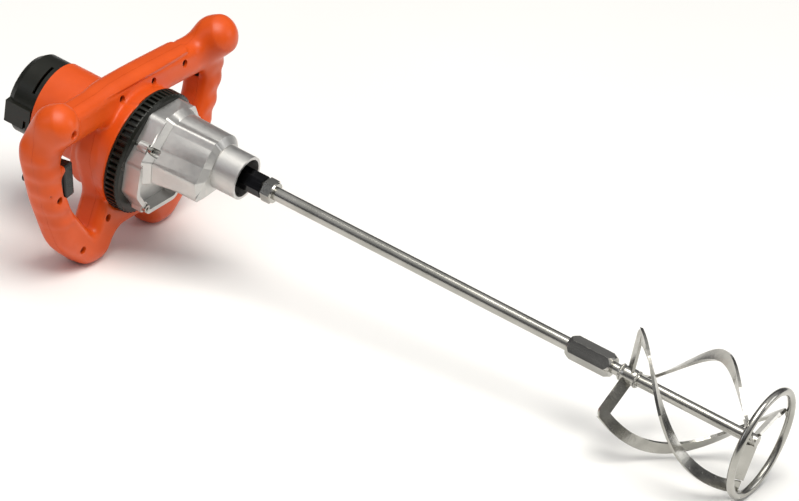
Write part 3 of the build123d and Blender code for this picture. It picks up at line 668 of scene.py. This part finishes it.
def repeated(name, piece, count, radius, centre, finish, first=0.0):
    """A plain mesh object: the piece set round an X axis through centre."""
    thing = add_object(name, bpy.data.meshes.new(name))
    nodes = thing.modifiers.new("repeat", "NODES")
    nodes.node_group = REPEAT
    values = {"Piece": piece, "Count": count, "Radius": radius, "Centre": Vector(centre),
              "First Angle": first, "Finish": finish}
    for socket, value in values.items():
        nodes[REPEAT_INPUT[socket]] = value
    applied(thing)
    return thing


def turned(name, profile, centre_z, sides=160):
    """Solid of revolution about the X axis at that height, from (x, radius) points."""
    verts = [(x, r * cos(2 * pi * i / sides), centre_z + r * sin(2 * pi * i / sides))
             for i in range(sides) for x, r in profile]
    rows = len(profile)
    faces = [(i * rows + j, i * rows + (j + 1) % rows,
              (i + 1) % sides * rows + (j + 1) % rows, (i + 1) % sides * rows + j)
             for i in range(sides) for j in range(rows)]
    shape = bmesh.new()
    made = [shape.verts.new(v) for v in verts]
    for face in faces:
        shape.faces.new([made[i] for i in face])
    bmesh.ops.recalc_face_normals(shape, faces=shape.faces)
    return object_from(name, shape)


# %% The vent ring
ring_low, ring_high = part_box("vent_ring")
RING_R = 0.5 * (ring_high[1] - ring_low[1])
ring_back, ring_front = ring_low[0], ring_high[0]
RIM = 2.6 * MM
hoop = turned("vent_hoop", [
    (ring_back, 53 * MM), (ring_back, RING_R - 0.8 * MM), (ring_back + 0.8 * MM, RING_R),
    (ring_back + RIM, RING_R), (ring_back + RIM + 0.3 * MM, RING_R - 3.6 * MM),
    (ring_front - RIM - 1.4 * MM, RING_R - 3.6 * MM),
    (ring_front - RIM - 1.1 * MM, RING_R - 0.6 * MM),
    (ring_front - RIM, RING_R - 0.8 * MM), (ring_front, RING_R - 3.4 * MM), (ring_front, 53 * MM)],
    MOTOR_Z)
dress(hoop, "housing", "vent_ring", smooth=30)

rib_shape = bmesh.new()
add_box(rib_shape, Matrix.Identity(4), (-6.2 * MM, -4 * MM, -1.5 * MM),
        (6.2 * MM, -0.1 * MM, 1.5 * MM))
rib = object_from("rib", rib_shape)
soften = rib.modifiers.new("soften", "BEVEL")
soften.width = 0.5 * MM
soften.segments = 2
applied(rib)
RIB_COUNT = 60
rib_x = (ring_back + ring_front) / 2 - 0.2 * MM
ribs = repeated("vent_ribs", rib, RIB_COUNT, RING_R, (rib_x, 0, MOTOR_Z), black_plastic)
bpy.data.objects.remove(rib)
dress(ribs, "housing", "vent_ring", smooth=30)

# %% [markdown]
# ## Softened castings and mouldings
# A real casting has no sharp edge anywhere, and the light line on each rounded edge is what
# makes it look solid. These parts keep their CAD shape; only flat triangles are merged back into
# faces and each hard edge gets a small round.

# %% Round the hard edges
def softened(node, width, angle=28, segments=3):
    piece = copy_of(node + "_soft", node)
    shape = bmesh.new()
    shape.from_mesh(piece.data)
    bmesh.ops.dissolve_limit(shape, angle_limit=radians(0.6), verts=shape.verts, edges=shape.edges)
    shape.to_mesh(piece.data)
    shape.free()
    soften = piece.modifiers.new("soften", "BEVEL")
    soften.width = width
    soften.segments = segments
    soften.limit_method = "ANGLE"
    soften.angle_limit = radians(angle)
    piece.data.shade_smooth()
    weigh = piece.modifiers.new("weigh", "WEIGHTED_NORMAL")
    weigh.keep_sharp = True
    applied(piece)
    body = next(b for b, names in frame["record"]["behaviour"]["bodies"].items() if node in names)
    dress(piece, body, node, smooth=0)


for node, width in (("gearbox_housing", 0.9 * MM), ("rear_cap", 1.3 * MM),
                    ("bearing_plate", 0.5 * MM), ("output_spindle", 0.35 * MM),
                    ("coupling_sleeve", 0.5 * MM), ("rod_nut", 0.4 * MM)):
    softened(node, width)

# %% [markdown]
# ## Weld beads
# The blades, the rod and the tip ring are joined by short hand-laid welds. A weld is a row of
# overlapping drops, so a node tree sets small balls along a short curve, with a fixed seed for
# their uneven sizes. Each bead follows a joint of the whisk and sinks half into it.

# %% A node tree that lays a bead along a curve
def bead_tree():
    tree = bpy.data.node_groups.new("weld_bead", "GeometryNodeTree")
    face = tree.interface
    path = face.new_socket("Path", in_out="INPUT", socket_type="NodeSocketGeometry")
    sockets = {}
    for name, kind in (("Pitch", "NodeSocketFloat"), ("Drop Radius", "NodeSocketFloat"),
                       ("Seed", "NodeSocketInt"), ("Finish", "NodeSocketMaterial")):
        sockets[name] = face.new_socket(name, in_out="INPUT", socket_type=kind).identifier
    face.new_socket("Geometry", in_out="OUTPUT", socket_type="NodeSocketGeometry")
    new, link = tree.nodes.new, tree.links.new
    given, out = new("NodeGroupInput"), new("NodeGroupOutput")
    spots = new("GeometryNodeMeshToCurve")
    link(given.outputs[path.name], spots.inputs["Mesh"])
    row = new("GeometryNodeCurveToPoints")
    row.mode = "LENGTH"
    link(spots.outputs["Curve"], row.inputs["Curve"])
    link(given.outputs["Pitch"], row.inputs["Length"])
    drop = new("GeometryNodeMeshIcoSphere")
    drop.inputs["Subdivisions"].default_value = 2
    link(given.outputs["Drop Radius"], drop.inputs["Radius"])
    uneven = new("FunctionNodeRandomValue")
    uneven.data_type = "FLOAT"
    link(given.outputs["Seed"], uneven.inputs["Seed"])
    low_high = [socket for socket in uneven.inputs if socket.enabled and socket.type == "VALUE"]
    low_high[0].default_value, low_high[1].default_value = 0.8, 1.15
    lay = new("GeometryNodeInstanceOnPoints")
    link(row.outputs["Points"], lay.inputs["Points"])
    link(drop.outputs["Mesh"], lay.inputs["Instance"])
    link(next(o for o in uneven.outputs if o.enabled and o.type == "VALUE"), lay.inputs["Scale"])
    real = new("GeometryNodeRealizeInstances")
    link(lay.outputs[0], real.inputs[0])
    finish = new("GeometryNodeSetMaterial")
    link(real.outputs[0], finish.inputs["Geometry"])
    link(given.outputs["Finish"], finish.inputs["Material"])
    link(finish.outputs[0], out.inputs["Geometry"])
    return tree, sockets


BEAD, BEAD_INPUT = bead_tree()


def bead(points, pitch, radius, seed):
    """Drops along a run of points, as a mesh object."""
    mesh = bpy.data.meshes.new("bead")
    mesh.from_pydata(points, [(i, i + 1) for i in range(len(points) - 1)], [])
    thing = add_object("bead", mesh)
    nodes = thing.modifiers.new("bead", "NODES")
    nodes.node_group = BEAD
    values = {"Pitch": pitch, "Drop Radius": radius, "Seed": seed, "Finish": zinc_steel}
    for socket, value in values.items():
        nodes[BEAD_INPUT[socket]] = value
    return applied(thing)


# %% Beads at the hub, the ring and the spokes
hub_low, hub_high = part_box("hub_weld")
HUB_X = 0.5 * (hub_low[0] + hub_high[0])
HUB_R = 0.5 * (hub_high[2] - hub_low[2])
rod_r = 0.5 * (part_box("whisk_rod")[1][2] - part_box("whisk_rod")[0][2])
RING_X = 0.5 * (tip_low[0] + tip_high[0])
WIRE_R = 0.5 * (tip_high[0] - tip_low[0])
RING_MEAN = tip_high[2] - WIRE_R


def round_rod(x, radius, start, end, count=10):
    return [Vector((x, radius * cos(a), radius * sin(a)))
            for a in (start + (end - start) * i / (count - 1) for i in range(count))]


def blade_meets_ring(node):
    """Middle of the blade's vertices that lie by the ring's wire, as an angle round X."""
    near = [v.co for v in frame["nodes"][node].data.vertices
            if v.co.x > RING_X - 5 * MM and (v.co.yz.length > RING_MEAN - 8 * MM)]
    total = sum(near, Vector())
    return atan2(total.z, total.y)


beads = []
for side, seed in ((-1, 1), (1, 2)):
    beads.append(bead(round_rod(HUB_X + side * (hub_high[0] - HUB_X - 2.2 * MM), HUB_R - 1.4 * MM,
                                0, 2 * pi, 32), 1.6 * MM, 1.7 * MM, seed))
for index, node in enumerate(("whisk_blade_1", "whisk_blade_2", "whisk_blade_3")):
    angle = blade_meets_ring(node)
    wrap = [Vector((RING_X - WIRE_R * cos(b), (RING_MEAN + WIRE_R * 0.95 * sin(b)) * cos(angle + t),
                    (RING_MEAN + WIRE_R * 0.95 * sin(b)) * sin(angle + t)))
            for b, t in ((-1.2 + 0.3 * i, 0.02 * (i - 4)) for i in range(9))]
    beads.append(bead(wrap, 1.3 * MM, 1.3 * MM, 10 + index))
    beads.append(bead(round_rod(RING_X - 14 * MM, rod_r, angle - 0.5, angle + 0.5), 1.3 * MM,
                      1.5 * MM, 20 + index))
welds = bmesh.new()
for thing in beads:
    welds.from_mesh(thing.data)
    bpy.data.objects.remove(thing)
weld_beads = object_from("weld_beads", welds)
weld_beads.data.materials.append(zinc_steel)
weld_beads.data.shade_smooth()
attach(weld_beads, "spindle")
print("weld beads: triangles", sum(len(p.vertices) - 2 for p in weld_beads.data.polygons))
